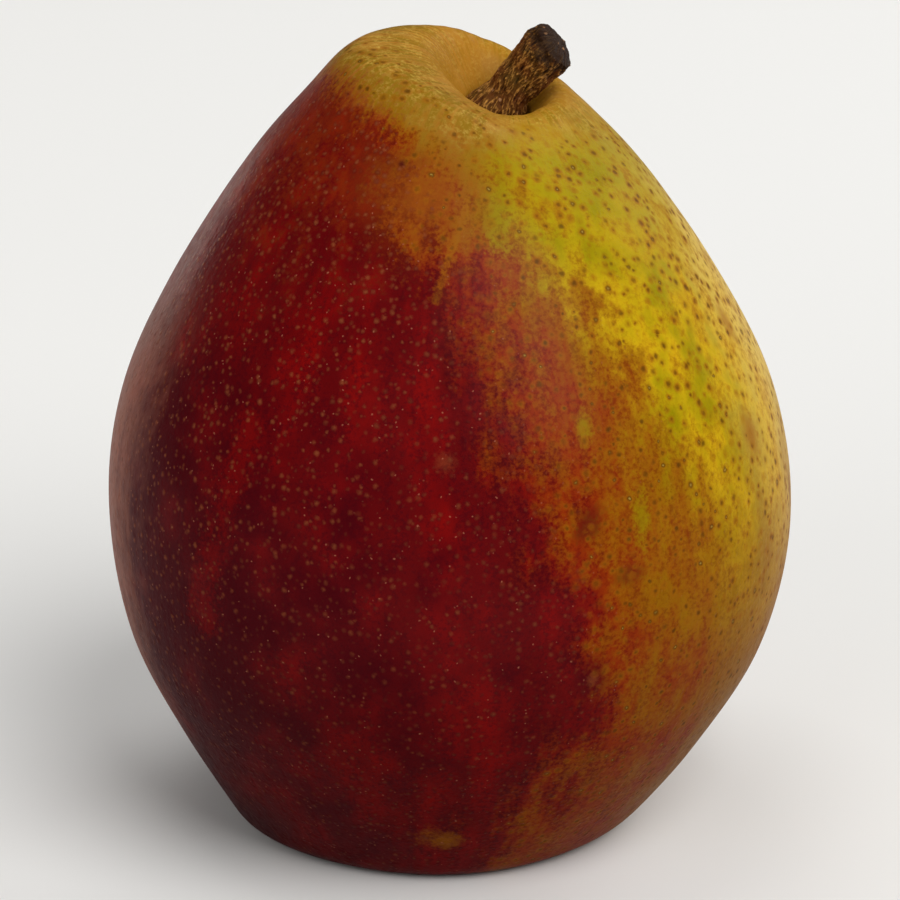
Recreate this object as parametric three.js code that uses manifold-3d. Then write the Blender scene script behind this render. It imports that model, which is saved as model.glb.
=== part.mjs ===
// A fresh dessert pear standing on its eye end: the fruit, its short woody stem, and the dried calyx
// (five sepals round a tuft of stamens) in the basin underneath.
// Millimetres, +Z up. The origin is on the table, under the middle of the pear. +X is the side
// that the stem leans to, and -Y is the front.
import * as THREE from "three";
import { mergeVertices } from "three/addons/utils/BufferGeometryUtils.js";
import Module from "manifold-3d";

// Driving dimensions of the fruit.
const fruitHeight = 88; // crown above the table, before the shoulder is lifted
const bellyDiameter = 76;
const clearance = 0.3; // gap kept between pieces that grew together

// Half outline of the fruit from the middle of the crown, over the neck, to the belly, as
// [share of belly radius, share of height]. The stem cavity is pressed into it later.
const upperFlank = [
  [0, 1.013],
  [0.2, 1.01],
  [0.3, 0.993],
  [0.4, 0.945],
  [0.585, 0.85],
  [0.785, 0.716],
  [0.945, 0.571],
  [1, 0.421],
];

// From the belly in to the foot, as [share of the way from foot radius to belly radius, share of height].
const lowerFlank = [
  [0.873, 0.262],
  [0.546, 0.13],
  [0.24, 0.036],
  [0.113, 0.009],
];

// The foot is a flat ring that the pear stands on, with the eye basin inside it.
const footRadius = 20; // outer edge of the ring
const basinRadius = 13; // inner edge of the ring
const basinDepth = 7;

// The stem cavity is a narrow funnel beside the top of the crown, with a dish pressed in its lip.
const funnel = { x: 5.3, y: 3, reach: 5.4, depth: 7.4, power: 2.9 };
const dish = { x: 6.4, y: -5, reach: 8.5, depth: 5.4, power: 2 };
const slide = { from: 4, to: 0.395 * bellyDiameter }; // rings inside the first radius shift with it

// How the fruit is out of true.
const shoulder = { slope: 0.08, turn: 2.6, from: 0.51 * fruitHeight }; // one shoulder stands higher
const footLean = { x: -1.8, height: 8 }; // the foot is pushed to one side
const sway = { x: 0.3, at: 0.386 * fruitHeight, spread: 11 }; // and the low belly to the other
const lobes = [
  { count: 2, size: 0.005, phase: 0.6 },
  { count: 3, size: 0.004, phase: 2.1 },
];
const footRibs = { count: 5, size: 0.01, phase: 0.9 }; // the flank is faintly five-sided at the foot

// The stem stands upright in its seat and then leans over. Its route starts at the seat's floor.
const seatDepth = 3.5; // how deep its foot is let into the floor of the funnel
const stemRoute = [
  [0, 0, 0],
  [0, -0.1, 3.6],
  [1, -0.4, 6.8],
  [3.8, -1, 10.5],
  [6.6, -1.6, 13.3],
];
const stemFootRadius = 3.2;
const stemWaistRadius = 2.4;
const stemTipRadius = 3;
const stemEnd = { dome: 0.5, rim: 1.4, knob: 3, neck: 5.5 }; // rounding, then lengths below the cut

// The calyx: a small tube in the floor of the basin, with sepals round its mouth.
const tube = { radius: 2.2, depth: 3.2 };
const sepal = { count: 5, length: 6.4, width: 3.2, thickness: 0.5, thinning: 0.6, cupping: 0.35, turn: 0.3 };
const tuft = { filaments: 9, thickness: 0.5, base: 1.2, length: 6.2 };
const filamentTurn = 2.4; // from each filament to the next, as seeds sit in a flower head

const around = 64; // segments round the fruit
const aroundSmall = 20; // round the stem and the button of the tuft
const aroundFilament = 8;
const flankRings = 36;
const flankCrowding = 1.25; // its rings gather towards the crown
const basinRings = 8;
const outlineSamples = 240;

// The sepals stand side by side on a ring round the tube's mouth.
const sepalSpacing = (sepal.width + 2 * clearance) / (2 * Math.tan(Math.PI / sepal.count));
const sepalRing = Math.max(tube.radius + clearance, sepalSpacing) + sepal.thickness;

const wasm = await Module();
wasm.setup();

const { clamp, lerp, smoothstep } = THREE.MathUtils;

// Half outline of the fruit in millimetres, down to the outer edge of the foot ring.
const bellyRadius = bellyDiameter / 2;
const flank = new THREE.SplineCurve([
  ...upperFlank.map(([r, z]) => new THREE.Vector2(r * bellyRadius, z * fruitHeight)),
  ...lowerFlank.map(([r, z]) => new THREE.Vector2(lerp(footRadius, bellyRadius, r), z * fruitHeight)),
  new THREE.Vector2(footRadius, 0),
]);
const crownSamples = flank.getPoints(outlineSamples);

// Height of the unpressed crown at a distance from the fruit's axis.
function crownHeight(radius) {
  const next = crownSamples.findIndex((point) => point.x > radius);
  const low = crownSamples[Math.max(next - 1, 0)];
  const high = crownSamples[next];
  return lerp(low.y, high.y, (radius - low.x) / (high.x - low.x));
}

function pressed(hollow, x, y) {
  const away = Math.hypot(x - hollow.x, y - hollow.y) / hollow.reach;
  return hollow.depth * Math.exp(-(away ** hollow.power));
}

// Moves a point of the turned fruit to where it is on the grown one.
function grow(point) {
  const radius = Math.hypot(point.x, point.y);
  const angle = Math.atan2(point.y, point.x);
  const onBelly = smoothstep(radius, slide.from, slide.to);
  if (point.z > fruitHeight / 2) {
    point.x += (1 - onBelly) * funnel.x;
    point.y += (1 - onBelly) * funnel.y;
    point.z += crownHeight(Math.hypot(point.x, point.y)) - crownHeight(radius);
    point.z -= pressed(funnel, point.x, point.y) + pressed(dish, point.x, point.y);
  }
  const lowness = Math.exp(-point.z / footLean.height);
  let swell = footRibs.size * lowness * Math.cos(footRibs.count * angle + footRibs.phase);
  for (const lobe of lobes) {
    swell += lobe.size * Math.cos(lobe.count * angle + lobe.phase);
  }
  const upness = Math.max(0, (point.z - shoulder.from) / (fruitHeight - shoulder.from)) ** 2;
  const uphill = point.x * Math.cos(shoulder.turn) + point.y * Math.sin(shoulder.turn);
  const swayed = sway.x * Math.exp(-(((point.z - sway.at) / sway.spread) ** 2));
  point.x = point.x * (1 + onBelly * swell) + footLean.x * lowness + swayed;
  point.y *= 1 + onBelly * swell;
  point.z += shoulder.slope * upness * uphill;
  return point;
}

// Turns a half outline round Z. The outline runs from the top of the axis to the bottom of it.
function turned(outline, segments) {
  const solid = new THREE.LatheGeometry(outline.slice().reverse(), segments);
  return solid.rotateX(Math.PI / 2);
}

function reshape(geometry, move) {
  const place = geometry.attributes.position;
  const point = new THREE.Vector3();
  for (let i = 0; i < place.count; i += 1) {
    move(point.fromBufferAttribute(place, i));
    place.setXYZ(i, point.x, point.y, point.z);
  }
  geometry.computeVertexNormals();
  return geometry;
}

function fruitGeometry() {
  const outline = [];
  for (let i = 0; i <= flankRings; i += 1) {
    outline.push(flank.getPoint((i / flankRings) ** flankCrowding));
  }
  for (let i = 0; i <= basinRings; i += 1) {
    const share = i / basinRings;
    const radius = lerp(basinRadius, sepalRing + 1, share);
    outline.push(new THREE.Vector2(radius, basinDepth * smoothstep(share, 0, 1)));
  }
  outline.push(new THREE.Vector2(tube.radius, basinDepth));
  outline.push(new THREE.Vector2(tube.radius, basinDepth + tube.depth));
  outline.push(new THREE.Vector2(0, basinDepth + tube.depth));
  return reshape(turned(outline, around), grow);
}

// A closed geometry as a solid that can be joined and cut.
function solidFrom(geometry) {
  const bare = geometry.clone();
  bare.deleteAttribute("normal");
  bare.deleteAttribute("uv");
  const merged = mergeVertices(bare, 1e-4);
  const vertProperties = merged.attributes.position.array;
  const triVerts = new Uint32Array(merged.index.array);
  return new wasm.Manifold(new wasm.Mesh({ numProp: 3, vertProperties, triVerts }));
}

function geometryFrom(solid) {
  const { vertProperties, triVerts } = solid.getMesh();
  const geometry = new THREE.BufferGeometry();
  geometry.setAttribute("position", new THREE.BufferAttribute(vertProperties, 3));
  geometry.setIndex(new THREE.BufferAttribute(triVerts, 1));
  geometry.computeVertexNormals();
  return geometry;
}

// Bends an upright turned piece along a route that starts at the origin.
function bent(geometry, route, length) {
  const side = new THREE.Vector3(0, 1, 0);
  return reshape(geometry, (point) => {
    const share = clamp(point.z / length, 0, 1);
    const along = route.getTangentAt(share);
    const across = new THREE.Vector3().crossVectors(side, along).normalize();
    const up = new THREE.Vector3().crossVectors(along, across);
    const spot = route.getPointAt(share);
    spot.addScaledVector(across, point.x);
    spot.addScaledVector(up, point.y);
    spot.addScaledVector(along, point.z - share * length);
    point.copy(spot);
  });
}

// The stem, or with a margin the hollow that it stands in.
function stemGeometry(margin) {
  const route = new THREE.CatmullRomCurve3(stemRoute.map((place) => new THREE.Vector3(...place)));
  const length = route.getLength();
  const outline = [
    [0, length + stemEnd.dome],
    [stemTipRadius * 0.55, length + stemEnd.dome * 0.6],
    [stemTipRadius * 0.9, length - stemEnd.dome * 0.8],
    [stemTipRadius, length - stemEnd.rim],
    [lerp(stemWaistRadius, stemTipRadius, 0.6), length - stemEnd.knob],
    [lerp(stemWaistRadius, stemTipRadius, 0.15), length - stemEnd.neck],
    [stemWaistRadius, length * 0.52],
    [lerp(stemWaistRadius, stemFootRadius, 0.4), length * 0.36],
    [stemFootRadius, seatDepth],
    [stemFootRadius, 0],
    [0, 0],
  ].map(([radius, height], index, all) => {
    const onAxis = index === 0 || index === all.length - 1;
    return new THREE.Vector2(onAxis ? 0 : radius + margin, height === 0 ? -margin : height);
  });
  outline[0].y += margin;
  return bent(turned(outline, aroundSmall), route, length);
}

// One dried sepal: a pointed leaf that comes down from the basin floor and curls outwards.
function sepalGeometry() {
  const { length, width, thickness } = sepal;
  const slab = new THREE.BoxGeometry(thickness, width, length, 1, 4, 9).translate(0, 0, length / 2);
  reshape(slab, (point) => {
    const share = clamp(point.z / length, 0, 1);
    point.y *= Math.sqrt(1 - share ** 1.5) * 0.9 + 0.1;
    point.x = point.x * lerp(1, sepal.thinning, share) + sepal.cupping * share * Math.abs(point.y);
  });
  const out = sepalRing - thickness / 2;
  const route = new THREE.CatmullRomCurve3([
    new THREE.Vector3(out, 0, basinDepth - clearance),
    new THREE.Vector3(out + length * 0.06, 0, basinDepth * 0.68),
    new THREE.Vector3(out + length * 0.28, 0, basinDepth * 0.44),
    new THREE.Vector3(out + length * 0.62, 0, basinDepth * 0.36),
  ]);
  return bent(slab, route, length);
}

// The withered stamens: a button in the tube, with bent filaments that end in anthers.
function tuftGeometry() {
  const { filaments, thickness, base, length } = tuft;
  const radius = tube.radius - clearance;
  const top = basinDepth + tube.depth - clearance;
  const button = turned(
    [
      new THREE.Vector2(0, top),
      new THREE.Vector2(radius, top),
      new THREE.Vector2(radius, top - base),
      new THREE.Vector2(radius * 0.6, top - base * 1.5),
      new THREE.Vector2(0, top - base * 1.7),
    ],
    aroundSmall,
  );
  const filament = [
    [0, 1],
    [0.7, 0.98],
    [0.85, 0.9],
    [0.45, 0.82],
    [0.4, 0.5],
    [0.5, 0],
    [0, 0],
  ];
  let whole = solidFrom(button);
  for (let i = 0; i < filaments; i += 1) {
    const angle = i * filamentTurn;
    const out = radius * Math.sqrt((i + 0.5) / filaments);
    const reach = length * (0.8 + 0.2 * Math.cos(i * 1.7));
    const outline = filament.map(([r, z]) => new THREE.Vector2(r * thickness, z * reach));
    const route = new THREE.CatmullRomCurve3([
      new THREE.Vector3(out * 0.5, 0, top - base * 0.5),
      new THREE.Vector3(out * 0.75, 0.1, top - reach * 0.5),
      new THREE.Vector3(out, 0.3 * Math.sin(i * 2), top - reach * 0.95),
    ]);
    whole = whole.add(solidFrom(bent(turned(outline, aroundFilament), route, reach).rotateZ(angle)));
  }
  return geometryFrom(whole);
}

const pear = new THREE.Group();

function addPiece(name, geometry, color, roughness) {
  const material = new THREE.MeshStandardMaterial({ color, roughness, metalness: 0 });
  const piece = new THREE.Mesh(geometry, material);
  piece.name = name;
  pear.add(piece);
}

// The stem's foot is let straight down into the floor of the funnel.
const seat = grow(new THREE.Vector3(0, 0, crownHeight(0)));
seat.z -= seatDepth;
const socket = solidFrom(stemGeometry(clearance).translate(seat.x, seat.y, seat.z));
addPiece("fruit", geometryFrom(solidFrom(fruitGeometry()).subtract(socket)), 0x7a1c16, 0.42);
addPiece("stem", stemGeometry(0).translate(seat.x, seat.y, seat.z), 0x4a2c14, 0.8);

// The calyx hangs round the middle of the basin, which the foot's lean has carried to one side.
const eye = grow(new THREE.Vector3(0, 0, basinDepth));
for (let i = 0; i < sepal.count; i += 1) {
  const turn = sepal.turn + (2 * Math.PI * i) / sepal.count;
  const leaf = sepalGeometry().rotateZ(turn).translate(eye.x, eye.y, 0);
  addPiece(`sepal_${i + 1}`, leaf, 0x3d2a18, 0.9);
}
addPiece("stamen_tuft", tuftGeometry().translate(eye.x, eye.y, 0), 0x2e2117, 0.9);

// The origin goes under the middle of the pear's box.
const middle = new THREE.Box3().setFromObject(pear).getCenter(new THREE.Vector3());
pear.position.set(-middle.x, -middle.y, 0);

export default pear;
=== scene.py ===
import math

import bmesh
import bpy
from mathutils import Matrix, Vector, noise


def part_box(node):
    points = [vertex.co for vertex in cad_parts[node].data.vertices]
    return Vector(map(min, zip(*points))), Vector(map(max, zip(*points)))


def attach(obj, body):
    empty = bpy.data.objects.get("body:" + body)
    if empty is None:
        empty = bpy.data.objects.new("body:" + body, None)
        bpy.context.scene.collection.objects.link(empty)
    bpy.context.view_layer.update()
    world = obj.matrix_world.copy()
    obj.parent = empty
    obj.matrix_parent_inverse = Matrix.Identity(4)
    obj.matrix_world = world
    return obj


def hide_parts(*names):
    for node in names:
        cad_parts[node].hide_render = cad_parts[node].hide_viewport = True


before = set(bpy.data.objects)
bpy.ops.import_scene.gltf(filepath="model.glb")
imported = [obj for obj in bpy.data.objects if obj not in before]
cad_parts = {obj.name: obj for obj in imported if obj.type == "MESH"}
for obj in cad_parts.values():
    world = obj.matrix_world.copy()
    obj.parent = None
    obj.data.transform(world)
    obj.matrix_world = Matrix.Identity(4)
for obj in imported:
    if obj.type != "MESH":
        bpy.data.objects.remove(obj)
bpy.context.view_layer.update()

# Shapes are reckoned in millimetres and turned to metres when a piece is finished.
mm = 0.001
fullTurn = 2 * math.pi


# Small helpers for shapes

def lerp(start, end, share):
    return start + (end - start) * share


def clamp(value, low=0.0, high=1.0):
    return max(low, min(high, value))


def easeStep(value, low, high):
    share = clamp((value - low) / (high - low))
    return share * share * (3 - 2 * share)


def splinePoint(points, share):
    # a point of the smooth curve that passes through all the points
    spot = share * (len(points) - 1)
    index = min(int(spot), len(points) - 2)
    t = spot - index
    before = points[max(index - 1, 0)]
    start = points[index]
    end = points[index + 1]
    after = points[min(index + 2, len(points) - 1)]
    leave = (end - before) * 0.5
    arrive = (after - start) * 0.5
    cubic = (start - end) * 2 + leave + arrive
    square = (end - start) * 3 - leave * 2 - arrive
    return ((cubic * t + square) * t + leave) * t + start


def roughness3(x, y, z, octaves=3):
    # layered noise from about -1 to 1
    return noise.fractal(Vector((x, y, z)), 1.0, 2.0, octaves)


class Route:
    # a smooth line in space, followed by its length from its start
    def __init__(self, points, steps=200):
        vectors = [Vector(point) for point in points]
        self.spots = [splinePoint(vectors, index / steps) for index in range(steps + 1)]
        self.marks = [0.0]
        for here, there in zip(self.spots, self.spots[1:]):
            self.marks.append(self.marks[-1] + (there - here).length)
        self.length = self.marks[-1]

    def at(self, share):
        wanted = clamp(share) * self.length
        index = 0
        while index < len(self.marks) - 2 and self.marks[index + 1] < wanted:
            index += 1
        part = (wanted - self.marks[index]) / (self.marks[index + 1] - self.marks[index])
        return self.spots[index].lerp(self.spots[index + 1], part)

    def heading(self, share):
        return (self.at(share + 0.02) - self.at(share - 0.02)).normalized()


def bend(vertices, route, length):
    # lays an upright shape along a route
    side = Vector((0, 1, 0))
    for vertex in vertices:
        share = clamp(vertex.co.z / length)
        along = route.heading(share)
        across = side.cross(along).normalized()
        up = along.cross(across)
        over = vertex.co.z - share * length
        vertex.co = route.at(share) + across * vertex.co.x + up * vertex.co.y + along * over


def spinOutline(shape, outline, steps):
    # turns a chain of (radius, height) round Z and returns the new vertices
    old = set(shape.verts)
    chain = [shape.verts.new((radius, 0, height)) for radius, height in outline]
    edges = [shape.edges.new(pair) for pair in zip(chain, chain[1:])]
    bmesh.ops.spin(
        shape,
        geom=chain + edges,
        cent=(0, 0, 0),
        axis=(0, 0, 1),
        dvec=(0, 0, 0),
        angle=fullTurn,
        steps=steps,
        use_merge=True,
    )
    turned = [vertex for vertex in shape.verts if vertex not in old]
    bmesh.ops.remove_doubles(shape, verts=turned, dist=1e-4)
    return [vertex for vertex in shape.verts if vertex not in old]


def finishPiece(name, shape, material, nodes, subdivided=0):
    bmesh.ops.scale(shape, vec=(mm, mm, mm), verts=shape.verts)
    bmesh.ops.recalc_face_normals(shape, faces=shape.faces)
    for face in shape.faces:
        face.smooth = True
    mesh = bpy.data.meshes.new(name)
    shape.to_mesh(mesh)
    shape.free()
    mesh.materials.append(material)
    piece = bpy.data.objects.new(name, mesh)
    bpy.context.scene.collection.objects.link(piece)
    if subdivided:
        rounding = piece.modifiers.new("rounding", "SUBSURF")
        rounding.levels = subdivided
        rounding.render_levels = subdivided
    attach(piece, "root")
    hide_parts(*nodes)


# Small helpers for finishes

def tone(red, green, blue):
    # a colour from the 0 to 255 values that a colour picker shows
    def linear(value):
        share = value / 255
        return share / 12.92 if share <= 0.04045 else ((share + 0.055) / 1.055) ** 2.4

    return (linear(red), linear(green), linear(blue), 1.0)


class Socket:
    # one output of a node; Python's operators on it add Math nodes
    def __init__(self, finish, socket):
        self.finish = finish
        self.socket = socket

    def output(self, name):
        return Socket(self.finish, self.socket.node.outputs[name])

    def maths(self, operation, *values):
        return self.finish.add("ShaderNodeMath", {"operation": operation}, dict(enumerate(values)))

    def __add__(self, other):
        return self.maths("ADD", self, other)

    def __sub__(self, other):
        return self.maths("SUBTRACT", self, other)

    def __rsub__(self, other):
        return self.maths("SUBTRACT", other, self)

    def __mul__(self, other):
        return self.maths("MULTIPLY", self, other)

    def __truediv__(self, other):
        return self.maths("DIVIDE", self, other)

    __radd__ = __add__
    __rmul__ = __mul__


class Finish:
    # a material whose nodes are added one call at a time
    def __init__(self, name, **uniform):
        self.material = bpy.data.materials.new(name)
        self.material.use_nodes = True
        self.tree = self.material.node_tree
        self.shader = self.tree.nodes["Principled BSDF"]
        for socket, value in uniform.items():
            self.shader.inputs[socket].default_value = value

    def add(self, kind, settings=None, values=None):
        node = self.tree.nodes.new(kind)
        for name, value in (settings or {}).items():
            if name == "stops":
                ramp = node.color_ramp
                while len(ramp.elements) < len(value):
                    ramp.elements.new(0.5)
                for element, (position, color) in zip(ramp.elements, value):
                    element.position = position
                    element.color = color
            else:
                setattr(node, name, value)
        for name, value in (values or {}).items():
            if isinstance(value, Socket):
                self.tree.links.new(value.socket, node.inputs[name])
            else:
                node.inputs[name].default_value = value
        return Socket(self, node.outputs[0])

    def feed(self, name, value):
        self.tree.links.new(value.socket, self.shader.inputs[name])

    def vector(self, operation, first, second):
        return self.add("ShaderNodeVectorMath", {"operation": operation}, {0: first, 1: second})

    def place(self):
        # where a point of the surface is, in mm
        spot = self.add("ShaderNodeTexCoord").output("Object")
        return self.vector("MULTIPLY", spot, (1 / mm, 1 / mm, 1 / mm))

    def scaled(self, vector, x, y, z, seed=0.0):
        stretched = self.vector("MULTIPLY", vector, (x, y, z))
        return self.vector("ADD", stretched, (seed, seed * 1.7, seed * 0.6))

    def parts(self, vector):
        split = self.add("ShaderNodeSeparateXYZ", None, {0: vector})
        return split, split.output("Y"), split.output("Z")

    def grain(self, vector, size, detail=2.0, roughness=0.5):
        # noise from about -0.5 to 0.5 with features of the given size
        values = {"Vector": vector, "Scale": 1 / size, "Detail": detail, "Roughness": roughness}
        return self.add("ShaderNodeTexNoise", None, values) - 0.5

    def step(self, value, low, high):
        # rises smoothly from 0 to 1, or falls where low is above high
        return self.add(
            "ShaderNodeMapRange",
            {"interpolation_type": "SMOOTHSTEP"},
            {"Value": value, "From Min": low, "From Max": high},
        )

    def lowest(self, value, limit):
        return self.add("ShaderNodeMath", {"operation": "MINIMUM"}, {0: value, 1: limit})

    def ramp(self, value, *stops):
        return self.add("ShaderNodeValToRGB", {"stops": stops}, {0: value})

    def mix(self, share, first, second, blend="MIX"):
        blended = self.add(
            "ShaderNodeMix",
            {"data_type": "RGBA", "blend_type": blend},
            {0: share, 6: first, 7: second},
        )
        return blended.output(2)

    def cells(self, vector, size, seed):
        # scattered points: the distance to the nearest in mm, and three chances that are its own
        placed = self.vector("ADD", vector, (seed, seed * 0.7, seed * 1.3))
        scatter = self.add("ShaderNodeTexVoronoi", {"feature": "F1"}, {"Vector": placed, "Scale": 1 / size})
        return scatter * size, self.parts(scatter.output("Color"))

    def bump(self, height, depth, strength=1.0):
        values = {"Height": height, "Distance": depth * mm, "Strength": strength}
        return self.add("ShaderNodeBump", None, values)


# Camera, lights and floor

studio = {
    "target": (0, -0.0005, 0.0426),
    "distance": 0.52,
    "elevation": 20,
    "lens": 186.8,
    "sensorWidth": 36,
    "world": 0.2,
    "floorColour": tone(236, 235, 232),
    "floorSize": 8,
    "sunPlace": (0.45, -0.6, 0.8),  # the key light, which is as bright all over the floor
    "sunPower": 2.15,
    "sunAngle": 42,
    "backdropRadius": 3.9,
    "backdropGlow": 0.58,
}

# each light: where it stands, how wide and high it is, its watts
lights = {
    "leftStrip": {"place": (-0.5, 0.8, 0.03), "size": (0.3, 0.16), "power": 0.8, "tint": (1, 0.84, 0.74)},
    "topSoft": {"place": (-0.1, 0.15, 0.9), "size": (0.5, 0.5), "power": 1.5, "gloss": False},
    "frontFill": {"place": (-0.5, -0.8, 0.55), "size": (0.6, 0.6), "power": 2.0, "gloss": False},
    "rightBackLight": {"place": (0.6, 0.5, 0.5), "size": (0.5, 0.5), "power": 2.0},
}


def placeLamp(lamp, name, place):
    holder = bpy.data.objects.new(name, lamp)
    holder.location = place
    towards = holder.location - Vector(studio["target"])
    holder.rotation_euler = towards.to_track_quat("Z", "Y").to_euler()
    bpy.context.scene.collection.objects.link(holder)
    return holder


def placeScenery(name, shape, material):
    mesh = bpy.data.meshes.new(name)
    shape.to_mesh(mesh)
    shape.free()
    mesh.materials.append(material)
    scenery = bpy.data.objects.new(name, mesh)
    bpy.context.scene.collection.objects.link(scenery)
    return scenery


def makeStudio():
    scene = bpy.context.scene
    scene.view_settings.view_transform = "Standard"
    world = bpy.data.worlds.new("studioAir")
    world.use_nodes = True
    air = world.node_tree.nodes["Background"]
    air.inputs["Color"].default_value = (1, 1, 1, 1)
    air.inputs["Strength"].default_value = studio["world"]
    scene.world = world

    rise = math.radians(studio["elevation"])
    camera = bpy.data.objects.new("camera", bpy.data.cameras.new("camera"))
    camera.data.lens = studio["lens"]
    camera.data.sensor_width = studio["sensorWidth"]
    away = Vector((0, -math.cos(rise), math.sin(rise)))
    camera.location = Vector(studio["target"]) + away * studio["distance"]
    camera.rotation_euler = away.to_track_quat("Z", "Y").to_euler()
    scene.collection.objects.link(camera)
    scene.camera = camera

    for name, values in lights.items():
        lamp = bpy.data.lights.new(name, "AREA")
        lamp.shape = "RECTANGLE"
        lamp.size, lamp.size_y = values["size"]
        lamp.energy = values["power"]
        lamp.color = values.get("tint", (1, 1, 1))
        holder = placeLamp(lamp, name, values["place"])
        holder.visible_camera = False
        holder.visible_glossy = values.get("gloss", True)
    sun = bpy.data.lights.new("keyLight", "SUN")
    sun.energy = studio["sunPower"]
    sun.angle = math.radians(studio["sunAngle"])
    placeLamp(sun, "keyLight", studio["sunPlace"])

    # a pale dome that only the camera sees
    shape = bmesh.new()
    bmesh.ops.create_icosphere(shape, subdivisions=4, radius=studio["backdropRadius"])
    glow = Finish("backdropGlow", **{
        "Base Color": (0, 0, 0, 1),
        "Emission Color": (1, 1, 1, 1),
        "Emission Strength": studio["backdropGlow"],
    })
    backdrop = placeScenery("backdrop", shape, glow.material)
    for ray in ("diffuse", "glossy", "transmission", "volume_scatter", "shadow"):
        setattr(backdrop, "visible_" + ray, False)

    shape = bmesh.new()
    bmesh.ops.create_grid(shape, x_segments=1, y_segments=1, size=studio["floorSize"] / 2)
    paper = Finish("floorPaper", **{"Base Color": studio["floorColour"], "Roughness": 0.9})
    placeScenery("floor", shape, paper.material)


# The fruit

fruitShape = {
    "height": 88,
    "bellyRadius": 38,
    "upperFlank": [
        (0, 1.013), (0.2, 1.01), (0.3, 0.993), (0.4, 0.945),
        (0.585, 0.85), (0.785, 0.716), (0.945, 0.571), (1, 0.421),
    ],  # radius and height as shares of belly radius and height
    "lowerFlank": [(0.873, 0.262), (0.546, 0.13), (0.24, 0.036), (0.113, 0.009)],
    "footRadius": 20,
    "basinRadius": 13,
    "basinFloor": 4.1,
    "basinDepth": 7,
    "tubeRadius": 2.2,
    "tubeDepth": 3.2,
    "socketRadius": 3.5,
    "socketDepth": 3.8,
    "funnel": {"x": 5.3, "y": 3, "reach": 5.4, "depth": 7.4, "power": 2.9},
    "dish": {"x": 6.4, "y": -5, "reach": 8.5, "depth": 5.4, "power": 2},
    "slide": (4, 30),
    "shoulder": {"slope": 0.08, "turn": 2.6, "start": 45},
    "footLean": {"x": -1.8, "height": 8},
    "sway": {"x": 0.3, "middle": 34, "spread": 11},
    "lobes": [(2, 0.005, 0.6), (3, 0.004, 2.1)],  # how many, how big, turned by
    "footRibs": (5, 0.01, 0.9),
    "stepsRound": 176,
    "flankRings": 84,
    "basinRings": 22,
    "waviness": 0.16,  # mm, broad unevenness
    "ripples": 0.035,  # mm, finer unevenness
    # folds that run into the stem cavity and the eye basin: mm deep, how many, how bent
    "cavityFolds": {"depth": 0.045, "counts": (13, 29), "second": 0.6, "wander": 2.2, "size": 9, "seed": 3.3},
    "basinFolds": {"depth": 0.45, "counts": (5, 14), "second": 0.45, "wander": 1.4, "size": 5, "seed": 1.7},
}


def flankPoints():
    values = fruitShape
    points = [
        Vector((radius * values["bellyRadius"], height * values["height"]))
        for radius, height in values["upperFlank"]
    ]
    for share, height in values["lowerFlank"]:
        radius = lerp(values["footRadius"], values["bellyRadius"], share)
        points.append(Vector((radius, height * values["height"])))
    points.append(Vector((values["footRadius"], 0)))
    return points


flank = flankPoints()
crownLine = [splinePoint(flank, index / 240) for index in range(200)]


def crownHeight(radius):
    for low, high in zip(crownLine, crownLine[1:]):
        if high.x > radius:
            return lerp(low.y, high.y, (radius - low.x) / (high.x - low.x))
    return crownLine[-1].y


def pressed(hollow, x, y):
    away = math.hypot(x - hollow["x"], y - hollow["y"]) / hollow["reach"]
    return hollow["depth"] * math.exp(-(away ** hollow["power"]))


def grow(point):
    # moves a point of the turned fruit to where it is on the grown one
    values = fruitShape
    x, y, z = point
    radius = math.hypot(x, y)
    angle = math.atan2(y, x)
    onBelly = easeStep(radius, *values["slide"])
    if z > values["height"] / 2:
        x += (1 - onBelly) * values["funnel"]["x"]
        y += (1 - onBelly) * values["funnel"]["y"]
        z += crownHeight(math.hypot(x, y)) - crownHeight(radius)
        z -= pressed(values["funnel"], x, y) + pressed(values["dish"], x, y)
    lowness = math.exp(-z / values["footLean"]["height"])
    count, size, phase = values["footRibs"]
    swell = size * lowness * math.cos(count * angle + phase)
    for count, size, phase in values["lobes"]:
        swell += size * math.cos(count * angle + phase)
    start = values["shoulder"]["start"]
    upness = max(0, (z - start) / (values["height"] - start)) ** 2
    turn = values["shoulder"]["turn"]
    uphill = x * math.cos(turn) + y * math.sin(turn)
    sway = values["sway"]
    swayed = sway["x"] * math.exp(-(((z - sway["middle"]) / sway["spread"]) ** 2))
    x = x * (1 + onBelly * swell) + values["footLean"]["x"] * lowness + swayed
    y *= 1 + onBelly * swell
    z += values["shoulder"]["slope"] * upness * uphill
    return Vector((x, y, z))


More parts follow.
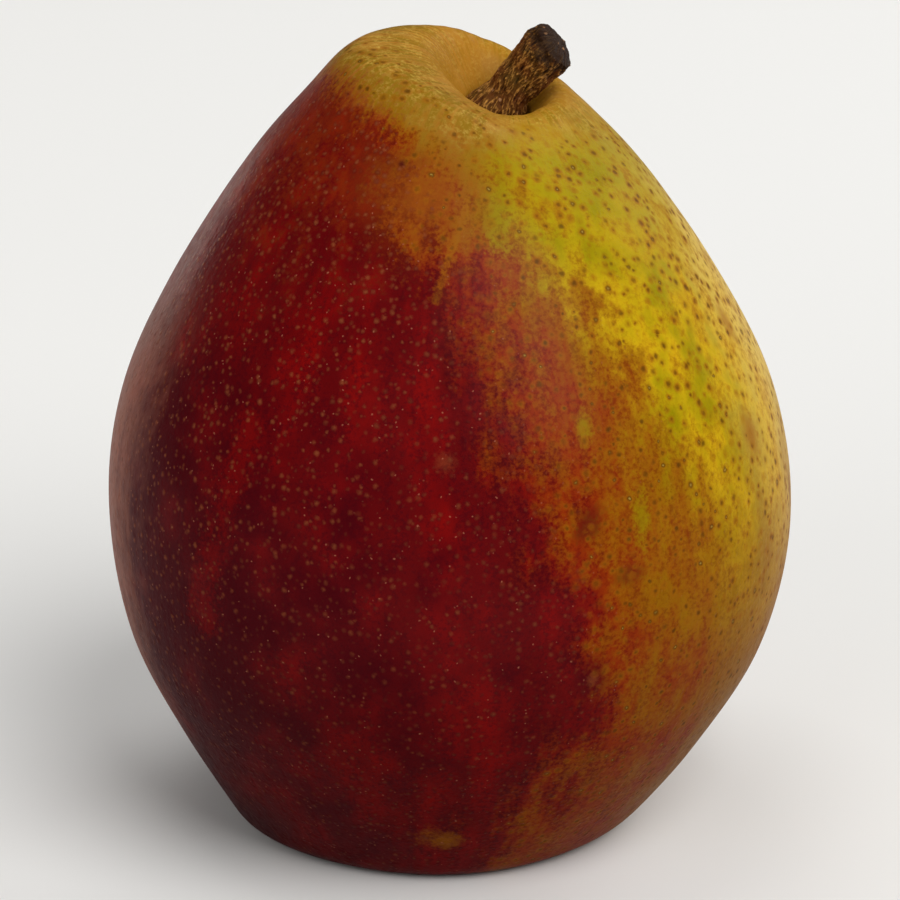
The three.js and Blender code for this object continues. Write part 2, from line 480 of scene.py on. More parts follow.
def fruitOutline():
    # the half outline from the socket's floor, over crown, flank and foot, to the eye's tube
    values = fruitShape
    outline = []
    rim = values["socketRadius"]
    crown = values["height"] * values["upperFlank"][0][1]
    for radius, depth in [(0, 1), (0.5, 1), (0.85, 1), (0.97, 0.93), (1, 0.6), (1, 0.25)]:
        outline.append((radius * rim, crown - depth * values["socketDepth"]))
    outline.append((rim * 1.015, crownHeight(rim) - 0.12))
    start = next(index for index in range(1000) if splinePoint(flank, index / 1000).x > rim * 1.05) / 1000
    for index in range(values["flankRings"] + 1):
        point = splinePoint(flank, lerp(start, 1, (index / values["flankRings"]) ** 1.15))
        outline.append((point.x, point.y))
    for share in (0.3, 0.65):
        outline.append((lerp(values["footRadius"], values["basinRadius"], share), 0))
    for index in range(values["basinRings"] + 1):
        share = index / values["basinRings"]
        radius = lerp(values["basinRadius"], values["basinFloor"], share)
        outline.append((radius, values["basinDepth"] * easeStep(share, 0, 1)))
    top = values["basinDepth"] + values["tubeDepth"]
    tube = values["tubeRadius"]
    outline += [(lerp(values["basinFloor"], tube, 0.6), values["basinDepth"] + 0.03)]
    outline += [(tube, values["basinDepth"] + 0.2), (tube, top - 0.2), (tube * 0.9, top), (0, top)]
    return outline


def fruitShift():
    # from the shape's own middle to the frame's
    low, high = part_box("fruit")
    wanted = (low + high) / 2 / mm
    values = fruitShape
    spots = []
    for point in fruitOutline():
        for index in range(64):
            angle = fullTurn * index / 64
            spots.append(grow((point[0] * math.cos(angle), point[0] * math.sin(angle), point[1])))
    middle = [(min(spot[axis] for spot in spots) + max(spot[axis] for spot in spots)) / 2 for axis in (0, 1)]
    return Vector((wanted.x - middle[0], wanted.y - middle[1], 0))


shift = fruitShift()
crownSeat = grow((0, 0, crownHeight(0)))
print("the frame's middle lies", [round(value, 3) for value in shift], "mm from the fruit's own")


def unevenness(spot, angle, height):
    # how far the skin stands proud of the smooth fruit, in mm
    values = fruitShape
    clearOfFoot = easeStep(spot.z, 0.5, 6)
    proud = values["waviness"] * clearOfFoot * roughness3(spot.x / 17, spot.y / 17, spot.z / 24, 2)
    proud += values["ripples"] * clearOfFoot * roughness3(spot.x / 3.5 + 9, spot.y / 3.5, spot.z / 6, 2)
    if height > values["height"] / 2:
        folds = values["cavityFolds"]
        away = math.hypot(spot.x - crownSeat.x, spot.y - crownSeat.y)
        near = easeStep(away, 15, 6) if away > 6 else easeStep(away, 3.4, 6)
        wave, bent = math.sin, 1
    else:
        folds = values["basinFolds"]
        away = math.hypot(spot.x - values["footLean"]["x"], spot.y)
        if away >= values["basinRadius"] + 1:
            return proud
        near = easeStep(spot.z, 0.3, 3.5) * easeStep(away, 3, 6)
        wave, bent = math.cos, 2
    wander = folds["wander"] * roughness3(spot.x / folds["size"], spot.y / folds["size"], folds["seed"], 2)
    few, many = folds["counts"]
    folded = wave(few * angle + wander) + folds["second"] * wave(many * angle - bent * wander)
    return proud + folds["depth"] * near * folded


def makeFruit(material):
    values = fruitShape
    shape = bmesh.new()
    layer = shape.verts.layers.float_vector.new("meridian")
    spinOutline(shape, fruitOutline(), values["stepsRound"])
    bmesh.ops.recalc_face_normals(shape, faces=shape.faces)
    floor = crownSeat.z - values["socketDepth"]
    crown = values["height"] * values["upperFlank"][0][1]
    for vertex in shape.verts:
        turned = vertex.co.copy()
        radius = math.hypot(turned.x, turned.y)
        angle = math.atan2(turned.y, turned.x)
        out = Vector((turned.x, turned.y, 0)) / max(radius, 1e-6)
        vertex[layer] = (out.x, out.y, turned.z)
        spot = grow(turned)
        if radius < values["socketRadius"] * 1.005 and turned.z > values["height"] / 2:
            rim = grow(out * values["socketRadius"] + Vector((0, 0, crownHeight(values["socketRadius"]))))
            depth = (crown - turned.z) / values["socketDepth"]
            spot.z = lerp(rim.z, floor, clamp(depth))
        else:
            lean = vertex.normal if vertex.normal.length > 0.5 else Vector((0, 0, 1))
            spot += lean * unevenness(spot, angle, turned.z)
        vertex.co = spot + shift
    finishPiece("pear_fruit", shape, material, ["fruit"], subdivided=1)


# The skin's finish. Most colours are the skin's own, before light, but the rim sheen, the glints and the
# shade towards the bottom are painted into them.

skinLook = {
    "sunSide": -77.5,  # degrees from the front towards the stem's side
    "sunSpread": 0.15,
    "sunLow": 0.0076,  # the blush reaches further round low on the fruit, for each mm below sunLowFrom
    "sunLowFrom": 45,
    "sunLowLimit": 0.13,
    "blushFrom": -0.62,
    "blushFull": 0.1,
    "blushLimit": 1.4,
    "cavity": (5.2, 2.9, 0),  # mm, the middle of the stem cavity
    "gritOnGround": 0.12,
    "gritOnBlush": 0.18,
    "yellow": tone(204, 165, 16),
    "green": tone(140, 126, 2),
    "gold": tone(166, 110, 6),
    "umber": tone(138, 92, 6),
    "peach": tone(218, 182, 84),
    "olive": tone(136, 104, 22),
    "russet": tone(172, 122, 44),
    "amber": tone(138, 78, 4),
    "brown": tone(112, 54, 6),
    "sienna": tone(138, 72, 14),
    "orange": tone(134, 44, 5),
    "red": tone(112, 12, 6),
    "crimson": tone(90, 5, 8),
    "maroon": tone(64, 3, 11),
    "flame": tone(132, 8, 5),
    "rust": tone(134, 92, 22),
    # waxy bloom, with a painted sheen of the rim
    "bloomAndSheen": tone(174, 108, 84),
    "funnel": tone(172, 114, 26),
    "grit": tone(140, 108, 60),
    "darkDot": tone(74, 44, 4),
    "redDot": tone(146, 84, 8),
    "paleDot": tone(134, 70, 38),
    # painted glint colour
    "paintedGlint": tone(180, 112, 84),
    # painted shade, multiplied in towards the bottom
    "paintedShade": tone(110, 100, 92),
}

# noise over the skin: what it lies on, its stretch along x, y and z, seed, size in mm, detail, roughness
skinFields = {
    "broad": ("place", (1, 1, 1), 0, 22, 1, 0.5),
    "patches": ("place", (1, 1, 1), 0, 7, 2, 0.5),
    "mottle": ("place", (1, 1, 0.7), 0, 2.1, 2, 0.6),
    "fine": ("place", (1, 1, 1), 0, 0.5, 2, 0.7),
    "wideStreak": ("meridian", (38, 38, 0.2), 0, 5.5, 2, 0.55),
    "thinStreak": ("meridian", (38, 38, 0.22), 7, 1.5, 2, 0.6),
}

# A mask is a sum of weighed fields, and the two values between which it rises from 0 to 1. The fields are the
# noise above, the height z in mm, where the skin faces, and those that skinMaterial adds.
sunNoise = {
    "broad": 0.2, "patches": 0.36, "mottle": 0.24, "fine": 0.16, "wideStreak": 0.44, "thinStreak": 0.2,
}
capNoise = {"fromCavity": 1, "patches": 7, "mottle": 6, "thinStreak": 4, "fine": 4}
sides = {"sunny": ({"facing": 1}, 0.45, 0.85), "shady": ({"facing": 1}, 0.4, -0.3), "top": ({"z": 1}, 48, 76)}
areas = {
    "cap": {"where": [({"capEdge": 1, "sunny": 3.5}, 30, 14), ({"z": 1}, 52, 60)]},
    "inCavity": {"where": [({"fromCavity": 1}, 14, 9), ({"z": 1}, 60, 66)]},
    "russet": {"strength": 0.85, "where": [({"capEdge": 1, "shady": 6}, 21, 14), ({"z": 1}, 60, 66)]},
    "coat": {"strength": 0.08, "where": [({"patches": 1, "broad": 1}, -0.4, 0.4), ({"z": 1}, 12, 45)]},
}

# areas that have had more or less sun than their side gives
sunAreas = [
    {"strength": -0.3, "where": [({"z": 1}, 24, 9), ({"facing": 1}, -0.45, -0.1)]},
    {"strength": -0.05, "where": [({"z": 1}, 46, 66)]},
    {"strength": 0.14, "where": [({"z": 1}, 36, 12), ({"facing": 1}, -0.3, -0.6)]},
    {"strength": -0.07, "where": [({"z": 1}, 40, 28), ({"facing": 1}, 0.05, -0.2)]},
    {"strength": -0.14, "where": [({"z": 1}, 58, 76)]},
]

# layers of colour, each over the ones before it: the ground colour
groundLayers = [
    {"tone": "yellow", "where": [({"patches": 1, "mottle": 0.5, "wideStreak": 0.5}, -0.3, 0.2)]},
    # painted sheen: pale peach along the rim turned furthest from the sun
    {"tone": "peach", "strength": 0.8, "where": [({"facing": 1, "patches": 0.3}, -0.7, -0.98)]},
    {"tone": "green", "strength": 0.7, "where": [({"z": 1, "patches": 14, "mottle": 12}, 62, 80)]},
    {"tone": "gold", "strength": 0.6, "where": [({"patches": 0.7, "mottle": 1, "fine": 0.4}, -0.08, 0.32)]},
    {"tone": "umber", "strength": 0.3, "where": [({"mottle": 1, "patches": -0.6, "fine": 0.5}, 0.02, 0.3)]},
    # amber towards the bottom: partly the skin's own colour, partly painted shade where less light falls low
    # on the fruit
    {"tone": "amber", "strength": 0.85, "where": [({"z": 1, "patches": 20, "mottle": 16}, 56, 22)]},
    {"tone": "rust", "where": [({"facing": 1}, -0.2, 0.35)], "times": ["cap"]},
]

# the blush, from none of it to full
blushStops = [
    (0.0, skinLook["gold"]),
    (0.22, skinLook["umber"]),
    (0.42, skinLook["amber"]),
    (0.66, skinLook["orange"]),
    (0.86, skinLook["red"]),
    (1.0, skinLook["crimson"]),
]
blushShows = (0.06, 0.55)

# tan mottling, bright flames, the deepest red, its dark fibres, the warm shoulder, the waxy bloom with
# painted rim sheen and the grit
blushLayers = [
    {"tone": "umber", "strength": 0.5, "where": [
        ({"mottle": 1, "fine": -0.5, "patches": -0.5}, -0.06, 0.24),
        ({"blush": 1}, 1.1, 0.5),
        ({"blush": 1}, 0.1, 0.5),
    ]},
    {"tone": "flame", "strength": 0.75, "times": ["uncapped"], "where": [
        ({"wideStreak": 0.8, "patches": 0.5, "mottle": 0.4}, -0.12, 0.26),
        ({"blush": 1}, 0.85, 1.15),
    ]},
    {"tone": "maroon", "strength": 0.9, "times": ["uncapped"], "where": [
        ({"even": 1, "wideStreak": 0.9, "patches": -1.6, "mottle": 0.5, "top": -1}, 0.22, 1.22),
    ]},
    {"tone": "maroon", "strength": 0.6, "where": [
        ({"mottle": 0.7, "fine": 1.2, "thinStreak": 0.5}, -0.1, 0.32),
        ({"blush": 1}, 0.7, 1.1),
    ]},
    {"tone": "orange", "strength": 0.6, "times": ["uncapped"], "where": [
        ({"z": 1, "mottle": 26, "patches": 16, "fine": 26}, 68, 88),
        ({"blush": 1}, 0.5, 1),
    ]},
    # along the left rim: partly the skin's own waxy bloom, partly painted sheen standing in for a reflection
    {"tone": "bloomAndSheen", "strength": 0.62, "where": [
        ({"across": 1, "mottle": 0.1, "wideStreak": 0.1}, -0.86, -1),
        ({"forward": 1, "patches": 0.4, "mottle": 0.2}, 0.42, -0.06),
        ({"z": 1}, 6, 22),
        ({"z": 1}, 70, 46),
    ]},
    {"tone": "grit", "blend": "MULTIPLY", "times": ["gritty"], "where": [
        ({"fine": 1, "mottle": 0.3}, -0.06, 0.2),
        ({"blush": 1}, 1.3, 0.8),
    ]},
]

# the russet crown's own colours, on olive, and the inside of the stem cavity
crownLayers = [
    {"tone": "russet", "where": [({"patches": 1, "thinStreak": 1}, -0.14, 0.12)]},
    {"tone": "peach", "strength": 0.5, "where": [({"fine": 1}, -0.05, 0.2)]},
    {"tone": "sienna", "strength": 0.5, "where": [
        ({"mottle": 0.8, "fine": 0.9, "thinStreak": 0.4}, 0.06, 0.26),
    ]},
]
cavityLayers = [
    {"tone": "funnel", "strength": 0.55, "where": [
        ({"fromCavity": 1, "fine": 3, "mottle": 4}, 11, 5),
        ({"z": 1}, 60, 66),
    ]},
]

# painted shade: the skin is darkened towards the bottom, where less light gets under the fruit
paintedShadeLayers = [{"tone": "paintedShade", "strength": 0.42, "blend": "MULTIPLY", "where": [({"z": 1}, 44, 8)]}]

# single marks on the skin: centre and half size in mm, finish, strength
spots = {
    "shoulderTan": {"place": (-2.5, -19, 78), "size": (6, 6, 7), "tone": "sienna", "strength": 0.75},
    "sunScald": {"place": (-5.5, -16.5, 80.5), "size": (3.2, 2.6, 1.6), "tone": "brown", "strength": 0.5},
    "mole": {"place": (-5, -16.5, 80.5), "size": (0.5, 0.6, 0.4), "tone": "maroon", "strength": 0.9},
    "bruise": {"place": (15, -34, 29), "size": (1.8, 2.5, 2.4), "tone": "maroon", "strength": 0.55},
    "bruiseHeart": {"place": (15, -34, 29), "size": (0.6, 1.5, 0.8), "tone": "paleDot", "strength": 0.4},
    "scratch": {"place": (-0.5, -34.6, 53.5), "size": (0.9, 1.5, 1), "tone": "paleDot", "strength": 0.3},
    "tanPatch": {"place": (-1, -27, 7.5), "size": (2.2, 3, 1.6), "tone": "amber", "strength": 0.85},
    "shadeUpper": {"place": (14.5, -34, 46.5), "size": (1.6, 2.5, 1.8), "tone": "maroon", "strength": 0.6},
    "shadeLower": {"place": (19, -33, 40.5), "size": (1.5, 2.5, 1.2), "tone": "maroon", "strength": 0.5},
    "edgeScar": {"place": (37.5, -6, 40), "size": (2, 1.2, 2.8), "tone": "brown", "strength": 0.7},
    "ringScar": {"place": (32.5, -16, 50.5), "size": (1.6, 1.6, 3.2), "tone": "orange", "strength": 0.5},
    "topScar": {"place": (30, -8.5, 60.5), "size": (1.5, 1.2, 3), "tone": "orange", "strength": 0.5},
    "dashUpper": {"place": (14, -30.5, 56), "size": (0.8, 2, 2.2), "tone": "green", "strength": 0.6},
    "dashLower": {"place": (20, -31, 46.5), "size": (0.9, 2, 3.6), "tone": "green", "strength": 0.6},
}
spotEdge = {"ragged": {"fine": 1.44, "mottle": 1.6}, "outside": 1.45, "inside": 0.1}

# drawn-out marks: from, to, half width in mm, finish, strength
streaks = {
    "flameStreak": {
        "start": (-21, -27.3, 55), "end": (-26.5, -27.3, 33), "width": 2, "tone": "flame", "strength": 0.4,
    },
    "tanStreak": {
        "start": (2, -19.5, 77.5), "end": (-1.5, -26.2, 68.5), "width": 0.5, "tone": "gold", "strength": 0.3,
    },
    "greenStreak": {
        "start": (5.3, -15, 80.5), "end": (5.2, -22.2, 73.5), "width": 1.3, "tone": "green", "strength": 0.55,
    },
}
streakEdge = {"ragged": {"fine": 2.4, "mottle": 2}, "outside": 1.5, "inside": 0}

# The dots: their spacing, and their radius and strengths. Each is a least value and what chance adds to it.
dots = {
    "ground": {
        "spacing": 1.25, "seed": 3, "radius": (0.24, 0.24),
        "halo": (0.3, 0.5), "heart": (0.5, 0.45), "core": 0.4,
    },
    "blush": {"spacing": 0.88, "seed": 11, "radius": (0.14, 0.12), "pale": (0.06, 0.4), "ring": 0.6},
    # the specks are painted glints
    "paintedGlints": {"spacing": 0.8, "seed": 23, "strength": 0.55, "onGround": 0.2, "onBlush": 0.6},
    "sunnier": 0.28,  # how much plainer the blush dots are on the sun side
    "sunnierBy": ({"facing": 1, "z": 0.02}, 1.2, 1.9),
    "wobbleScale": 2.2,
    "wobble": 0.32,
}

skinSurface = {
    "specular": 0.02,
    "coatRoughness": 0.3,
    "roughness": 0.42,
    "roughNoise": {"fine": 0.12, "patches": 0.1, "halo": 0.08},
    "relief": {"fine": 0.5, "mottle": 0.5, "thinStreak": 0.7, "heart": -0.3, "pale": 0.35},
    "reliefDepth": 0.09,  # mm
    "reliefStrength": 0.8,
}


def weighed(fields, weights):
    parts = [fields[name] if weight == 1 else fields[name] * weight for name, weight in weights.items()]
    return sum(parts[1:], parts[0])


def masked(skin, fields, layer):
    # how much of a layer shows at each place
    share = layer.get("strength", 1)
    for weights, low, high in layer["where"]:
        share = skin.step(weighed(fields, weights), low, high) * share
    for name in layer.get("times", []):
        share = fields[name] * share
    return share


def paint(skin, fields, color, layers):
    for layer in layers:
        share = masked(skin, fields, layer)
        color = skin.mix(share, color, skinLook[layer["tone"]], layer.get("blend", "MIX"))
    return color


def skinMaterial():
    look = skinLook
    surface = skinSurface
    skin = Finish("pearSkin", **{
        "Specular IOR Level": surface["specular"],
        "Coat Roughness": surface["coatRoughness"],
    })
    place = skin.place()
    meridian = skin.add("ShaderNodeAttribute", {"attribute_name": "meridian"}).output("Vector")
    sources = {"place": place, "meridian": meridian}
    fields = {}
    for name, (source, stretch, seed, size, detail, roughness) in skinFields.items():
        fields[name] = skin.grain(skin.scaled(sources[source], *stretch, seed), size, detail, roughness)

    # how much sun each place has had
    z = skin.parts(place)[2]
    across, forward = skin.parts(meridian)[:2]
    side = math.radians(look["sunSide"])
    facing = across * math.sin(side) - forward * math.cos(side)
    fields.update({"z": z, "across": across, "forward": forward, "facing": facing})
    for name, (weights, low, high) in sides.items():
        fields[name] = skin.step(weighed(fields, weights), low, high)
    lower = skin.lowest((look["sunLowFrom"] - z) * look["sunLow"], look["sunLowLimit"])
    even = facing + look["sunSpread"] + lower
    for area in sunAreas:
        even = even + masked(skin, fields, area)
    fields["even"] = even
    sun = even + weighed(fields, sunNoise)

    # the russet cap round the stem cavity, and the blush, which stops at the cap
    fromCavity = skin.scaled(skin.vector("SUBTRACT", place, look["cavity"]), 1, 1, 0)
    fields["fromCavity"] = skin.vector("LENGTH", fromCavity, (0, 0, 0)).output("Value")
    fields["capEdge"] = weighed(fields, capNoise)
    fields["cap"] = masked(skin, fields, areas["cap"])
    fields["uncapped"] = 1 - fields["cap"]
    span = look["blushFull"] - look["blushFrom"]
    blush = skin.lowest((sun - look["blushFrom"]) / span, look["blushLimit"]) * fields["uncapped"]
    shows = skin.step(blush, *blushShows)
    gritty = skin.step(blush, 0.05, 0.5) * look["gritOnBlush"] + look["gritOnGround"]
    fields.update({"blush": blush, "gritty": gritty})

    ground = paint(skin, fields, look["green"], groundLayers)
    color = skin.mix(shows, ground, skin.ramp(blush, *blushStops))
    color = paint(skin, fields, color, blushLayers)
    crown = paint(skin, fields, look["olive"], crownLayers)
    color = skin.mix(masked(skin, fields, areas["russet"]), color, crown)
    color = paint(skin, fields, color, cavityLayers)
    for values in streaks.values():
        color = streak(skin, fields, color, place, values)
    for values in spots.values():
        color = spot(skin, fields, color, place, values)
    color = dotted(skin, fields, color, place)
    # painted shade towards the bottom
    color = paint(skin, fields, color, paintedShadeLayers)

    skin.feed("Base Color", color)
    skin.feed("Roughness", weighed(fields, surface["roughNoise"]) + surface["roughness"])
    skin.feed("Coat Weight", masked(skin, fields, areas["coat"]))
    relief = weighed(fields, surface["relief"])
    skin.feed("Normal", skin.bump(relief, surface["reliefDepth"], surface["reliefStrength"]))
    return skin.material


def chanced(chance, values):
    least, added = values
    return chance * added + least


def dotted(skin, fields, color, place):
    blush = fields["blush"]
    onGround = skin.step(blush, 1.0, 0.6) * (1 - masked(skin, fields, areas["inCavity"]))
    onBlush = skin.step(blush, 0.6, 1.0)
    values = {"Vector": place, "Scale": dots["wobbleScale"], "Detail": 1.0}
    wobble = skin.add("ShaderNodeTexNoise", None, values).output("Color")
    warped = skin.vector("ADD", place, skin.vector("MULTIPLY", wobble, (dots["wobble"],) * 3))

    # brown lenticels with a reddish halo on the ground colour
    values = dots["ground"]
    away, (chance, second, third) = skin.cells(warped, values["spacing"], values["seed"])
    away = away / chanced(chance, values["radius"])
    halo = skin.step(away, 2.1, 0.5)
    heart = skin.step(away, 1.1, 0.2)
    color = skin.mix(halo * onGround * chanced(second, values["halo"]), color, skinLook["redDot"])
    color = skin.mix(heart * onGround * chanced(third, values["heart"]), color, skinLook["darkDot"])
    core = skin.step(away, 0.5, 0.1) * skin.step(third, 0.6, 0.8) * onGround
    color = skin.mix(core * values["core"], color, skinLook["peach"])

    # small pale ones with dark rings on the blush
    values = dots["blush"]
    away, (chance, second, third) = skin.cells(warped, values["spacing"], values["seed"])
    ring = skin.step(away, 0.45, 0.1) * onBlush * (third * values["ring"])
    color = skin.mix(ring, color, skinLook["maroon"])
    pale = skin.step(away / chanced(chance, values["radius"]), 1.8, 0)
    weights, low, high = dots["sunnierBy"]
    plain = skin.step(weighed(fields, weights), low, high) * dots["sunnier"]
    color = skin.mix(pale * onBlush * (chanced(second, values["pale"]) + plain), color, skinLook["paleDot"])

    # painted glints: tiny light specks that stand in for glints on the skin's fine bumps
    values = dots["paintedGlints"]
    away, chances = skin.cells(warped, values["spacing"], values["seed"])
    paintedGlint = skin.step(away, 0.14, 0.04) * skin.step(chances[0], 0.4, 0.7)
    paintedGlint = paintedGlint * (onBlush * values["onBlush"] + values["onGround"])
    color = skin.mix(paintedGlint * values["strength"], color, skinLook["paintedGlint"])
    fields.update({"halo": halo, "heart": heart, "pale": pale})
    return color


def streak(skin, fields, color, place, values):
    start = Vector(values["start"])
    line = Vector(values["end"]) - start
    reach = skin.vector("SUBTRACT", place, start)
    share = skin.add(
        "ShaderNodeMath",
        {"operation": "MULTIPLY", "use_clamp": True},
        {0: skin.vector("DOT_PRODUCT", reach, line / line.length_squared).output("Value"), 1: 1.0},
    )
    nearest = skin.add("ShaderNodeVectorMath", {"operation": "SCALE"}, {0: tuple(line), "Scale": share})
    away = skin.vector("DISTANCE", reach, nearest).output("Value") / values["width"]
    return marked(skin, fields, color, away, streakEdge, values)


def spot(skin, fields, color, place, values):
    width, deep, tall = values["size"]
    reach = skin.vector("SUBTRACT", place, values["place"])
    reach = skin.vector("MULTIPLY", reach, (1 / width, 1 / deep, 1 / tall))
    away = skin.vector("LENGTH", reach, (0, 0, 0)).output("Value")
    return marked(skin, fields, color, away, spotEdge, values)


def marked(skin, fields, color, away, edge, values):
    mask = skin.step(away + weighed(fields, edge["ragged"]), edge["outside"], edge["inside"])
    return skin.mix(mask * values["strength"], color, skinLook[values["tone"]])


# The stem

stemShape = {
    "route": [(0, 0, 0), (0, -0.1, 3.6), (1, -0.4, 6.8), (3.8, -1, 10.5), (6.6, -1.6, 13.15)],
    "seatDepth": 3.5,
    "footRadius": 3.2,
    "waistRadius": 2.4,
    "tipRadius": 3,
    "stepsRound": 180,
    "rings": 150,
    "ridges": 0.15,  # mm, how far the bark's ridges stand up
    "ridgeWidth": 0.3,
    "ridgeLength": 1.5,
    "knots": 0.3,
    "lumps": 0.16,  # mm, on the dry end
    "bulge": 1.2,  # mm, the foot's swelling on its outer side
    "twist": 0.05,  # radians for each mm of length
    "barkRadius": 2.6,
    "capTilt": 0.12,
    "capEdge": [
        (0.88, -0.2), (0.82, -0.02), (0.74, 0.13), (0.64, 0.24), (0.52, 0.33),
        (0.4, 0.39), (0.28, 0.44), (0.15, 0.48), (0, 0.5),
    ],  # radius as a share of the tip's, height in mm
}


def stemRadius(share, length):
    values = stemShape
    foot, waist, tip = values["footRadius"], values["waistRadius"], values["tipRadius"]
    outline = [
        (0, foot), (values["seatDepth"], foot), (0.36 * length, lerp(waist, foot, 0.4)),
        (0.52 * length, waist), (length - 5.5, lerp(waist, tip, 0.15)),
        (length - 3, lerp(waist, tip, 0.6)), (length - 1.5, tip), (length - 0.4, tip * 0.93),
    ]
    height = share * length
    for (low, first), (high, second) in zip(outline, outline[1:]):
        if height <= high:
            return lerp(first, second, easeStep(height, low, high))
    return outline[-1][1]


def makeStem(material):
    values = stemShape
    route = Route(values["route"])
    length = route.length
    outline = [(0, 0), (values["footRadius"] * 0.5, 0)]
    for index in range(values["rings"] + 1):
        share = index / values["rings"]
        outline.append((stemRadius(share, length), share * (length - 0.4)))
    for share, height in values["capEdge"]:
        outline.append((values["tipRadius"] * share, length + height))
    shape = bmesh.new()
    relief = shape.verts.layers.float_vector.new("bark")
    spinOutline(shape, outline, values["stepsRound"])
    for vertex in shape.verts:
        x, y, z = vertex.co
        radius = math.hypot(x, y)
        out = Vector((x, y, 0)) / max(radius, 1e-6)
        onCap = easeStep(z, length - 0.8, length + 0.1)
        twist = Matrix.Rotation(values["twist"] * z, 3, "Z")
        spot = twist @ out * values["barkRadius"] / values["ridgeWidth"]
        spot.z = z / values["ridgeLength"]
        wander = noise.noise(spot * 0.4 + Vector((5, 1, 3))) * 0.8
        ridge = 1 - 2.4 * abs(noise.noise(spot + Vector((wander, wander, 0))))
        ridge += 0.5 * (1 - 2.4 * abs(noise.noise(spot * 2.1 + Vector((3, 8, 1)))))
        knot = noise.noise(Vector((x / 1.8, y / 1.8, z / 2.4)))
        grip = 1 - easeStep(z, 3.2, 1.5)  # smooth where it is let into the fruit
        lump = noise.noise(Vector((x / 0.9 + 7, y / 0.9, z / 0.9)))
        nearCap = easeStep(z, length - 4, length - 1)
        share = radius / values["tipRadius"]
        proud = values["ridges"] * (ridge - 0.6) * (1 - 0.8 * onCap)
        proud = (proud + values["knots"] * knot * (1 - onCap)) * grip
        proud += values["lumps"] * lump * nearCap * clamp(share)
        bulge = values["bulge"] * math.exp(-(((z - 4.7) / 1.6) ** 2)) * max(0, -out.x) * grip
        cut = 0.2 * roughness3(x / 1.1, y / 1.1, 4) - 0.12 - 0.25 * share ** 3 - values["capTilt"] * x
        vertex.co += out * (proud + bulge)
        vertex.co.z += onCap * cut
        vertex[relief] = (clamp(ridge * 0.5 + 0.3), onCap, z / length)
    bend(shape.verts, route, length)
    seat = crownSeat + shift - Vector((0, 0, values["seatDepth"]))
    bmesh.ops.translate(shape, vec=seat, verts=shape.verts)
    finishPiece("pear_stem", shape, material, ["stem"])


barkLook = {
    "shadedFurrow": tone(30, 14, 7),
    "brown": tone(90, 53, 17),
    # ridge tops: partly their own tan, partly painted highlight
    "ridge": tone(196, 140, 66),
    "olive": tone(96, 76, 18),
    "rust": tone(112, 54, 16),
    "char": tone(38, 21, 13),
    "fleck": tone(186, 136, 92),
}


def barkMaterial():
    look = barkLook
    bark = Finish("stemBark", **{"Specular IOR Level": 0.12})
    place = bark.place()
    relief = bark.add("ShaderNodeAttribute", {"attribute_name": "bark"}).output("Vector")
    ridge, onCap, along = bark.parts(relief)
    patches = bark.grain(place, 2.4, 2)
    fine = bark.grain(place, 0.3, 3, 0.7)
    height = ridge + fine * 0.5 + patches * 0.3
    # dark in the furrows, tan on the ridge tops: partly the bark's own colour, partly painted shade in the
    # furrows and painted highlight on the ridges
    stops = [(0.2, look["shadedFurrow"]), (0.5, look["brown"]), (0.74, look["brown"]), (1.0, look["ridge"])]
    color = bark.ramp(height, *stops)
    color = bark.mix(bark.step(patches, -0.05, 0.3) * 0.5, color, look["olive"])
    color = bark.mix(bark.step(fine * 0.4 - patches, -0.05, 0.25) * 0.45, color, look["rust"])
    dark = bark.step(along + patches * 0.5 + fine * 0.4, 0.78, 1.02)
    color = bark.mix(bark.step(dark + onCap * 0.5 + fine * 1.4, 0.2, 0.9) * 0.9, color, look["char"])
    away, chances = bark.cells(place, 0.7, 5.0)
    fleck = bark.step(away + fine * 0.3, 0.24, 0.08) * bark.step(chances[0] + dark * 0.2, 0.6, 0.75)
    color = bark.mix(fleck * (chances[1] * 0.5 + 0.25), color, look["fleck"])
    bark.feed("Base Color", color)
    bark.feed("Roughness", 0.72 + fine * 0.3 - onCap * 0.15)
    bark.feed("Normal", bark.bump(ridge * 0.6 + fine + onCap * (patches + fine), 0.16, 0.9))
    return bark.material


# The calyx underneath

sepalShape = {
    "count": 5,
    "length": 6.4,
    "width": 3.2,
    "thickness": 0.5,
    "turn": 0.3,
    "ring": 3.115,
    "cup": 0.35,  # how far the edges curl up
    "creases": 0.16,
    "waver": 0.12,
}


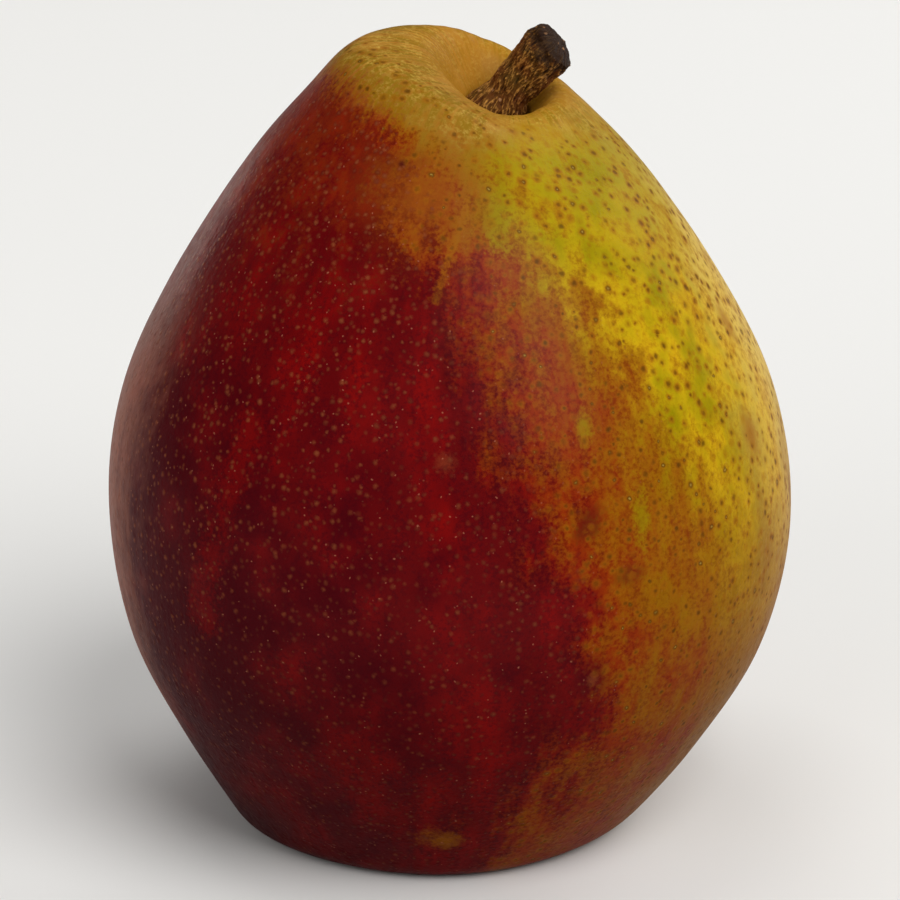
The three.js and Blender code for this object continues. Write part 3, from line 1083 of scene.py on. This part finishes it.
def makeSepals(material):
    values = sepalShape
    depth = fruitShape["basinDepth"]
    out = values["ring"] - values["thickness"] / 2
    length = values["length"]
    route = Route([
        (out, 0, depth - 0.3),
        (out + length * 0.06, 0, depth * 0.68),
        (out + length * 0.28, 0, depth * 0.44),
        (out + length * 0.62, 0, depth * 0.36),
    ])
    eye = grow((0, 0, depth)) + shift
    eye.z = 0
    for index in range(values["count"]):
        shape = bmesh.new()
        bmesh.ops.create_cube(shape, size=1)
        bmesh.ops.scale(shape, vec=(values["thickness"], values["width"], length), verts=shape.verts)
        bmesh.ops.translate(shape, vec=(0, 0, length / 2), verts=shape.verts)
        upright = [edge for edge in shape.edges if abs(edge.verts[0].co.z - edge.verts[1].co.z) > 1]
        bmesh.ops.subdivide_edges(shape, edges=upright, cuts=17, use_grid_fill=True)
        wide = [edge for edge in shape.edges if abs(edge.verts[0].co.y - edge.verts[1].co.y) > 1]
        bmesh.ops.subdivide_edges(shape, edges=wide, cuts=7, use_grid_fill=True)
        for vertex in shape.verts:
            share = clamp(vertex.co.z / length)
            vertex.co.y *= math.sqrt(1 - share ** 1.5) * 0.9 + 0.1
            vertex.co.x = vertex.co.x * lerp(1, 0.6, share) + values["cup"] * share * abs(vertex.co.y)
            crease = noise.noise(Vector((vertex.co.y * 1.4, vertex.co.z * 0.7, index * 3.7)))
            vertex.co.x += values["creases"] * crease * share
            waver = noise.noise(Vector((vertex.co.z, index * 5.1, 2)))
            vertex.co.y += values["waver"] * share * waver
        bend(shape.verts, route, length)
        turn = values["turn"] + fullTurn * index / values["count"]
        bmesh.ops.rotate(shape, cent=(0, 0, 0), matrix=Matrix.Rotation(turn, 3, "Z"), verts=shape.verts)
        bmesh.ops.translate(shape, vec=eye, verts=shape.verts)
        name = f"sepal_{index + 1}"
        finishPiece("dried_" + name, shape, material, [name], subdivided=1)


tuftShape = {
    "filaments": 9,
    "thickness": 0.5,
    "base": 1.2,
    "length": 6.2,
    "turn": 2.4,  # radians from one filament to the next
    "gap": 0.3,
    "filament": [
        (0, 1), (0.4, 0.995), (0.7, 0.98), (0.85, 0.9), (0.7, 0.86), (0.42, 0.82),
        (0.38, 0.66), (0.4, 0.5), (0.42, 0.34), (0.46, 0.17), (0.5, 0), (0, 0),
    ],  # radius and height as shares of thickness and length
}


def makeTuft(material):
    values = tuftShape
    radius = fruitShape["tubeRadius"] - values["gap"]
    top = fruitShape["basinDepth"] + fruitShape["tubeDepth"] - values["gap"]
    base = values["base"]
    shape = bmesh.new()
    button = [
        (0, top), (radius * 0.9, top), (radius, top - 0.15), (radius, top - base * 0.8),
        (radius * 0.85, top - base * 1.1), (radius * 0.6, top - base * 1.5), (0, top - base * 1.7),
    ]
    spinOutline(shape, button, 32)
    for index in range(values["filaments"]):
        out = radius * math.sqrt((index + 0.5) / values["filaments"])
        reach = values["length"] * (0.8 + 0.2 * math.cos(index * 1.7))
        outline = [(radius * values["thickness"], height * reach) for radius, height in values["filament"]]
        fresh = spinOutline(shape, outline, 12)
        route = Route([
            (out * 0.5, 0, top - base * 0.5),
            (out * 0.75, 0.1, top - reach * 0.5),
            (out, 0.3 * math.sin(index * 2), top - reach * 0.95),
        ])
        bend(fresh, route, reach)
        turn = Matrix.Rotation(index * values["turn"], 3, "Z")
        bmesh.ops.rotate(shape, cent=(0, 0, 0), matrix=turn, verts=fresh)
    eye = grow((0, 0, fruitShape["basinDepth"])) + shift
    bmesh.ops.translate(shape, vec=(eye.x, eye.y, 0), verts=shape.verts)
    finishPiece("dried_stamens", shape, material, ["stamen_tuft"], subdivided=1)


def calyxMaterial(name, dark, light):
    dried = Finish(name, **{"Specular IOR Level": 0.2, "Sheen Weight": 0.1})
    place = dried.place()
    patches = dried.grain(place, 1.6, 3, 0.6)
    veins = dried.grain(dried.scaled(place, 1, 1, 0.25), 0.35, 3, 0.6)
    color = dried.ramp(patches * 0.8 + veins + 0.5, (0.25, dark), (0.75, light))
    dried.feed("Base Color", color)
    dried.feed("Roughness", 0.82 + veins * 0.3)
    dried.feed("Normal", dried.bump(veins + patches * 0.5, 0.15, 0.8))
    return dried.material


makeStudio()
print("studio ready")
makeFruit(skinMaterial())
print("fruit ready")
makeStem(barkMaterial())
print("stem ready")
makeSepals(calyxMaterial("driedSepal", tone(40, 26, 16), tone(112, 80, 48)))
makeTuft(calyxMaterial("driedStamen", tone(26, 18, 13), tone(74, 52, 34)))
print("calyx ready")
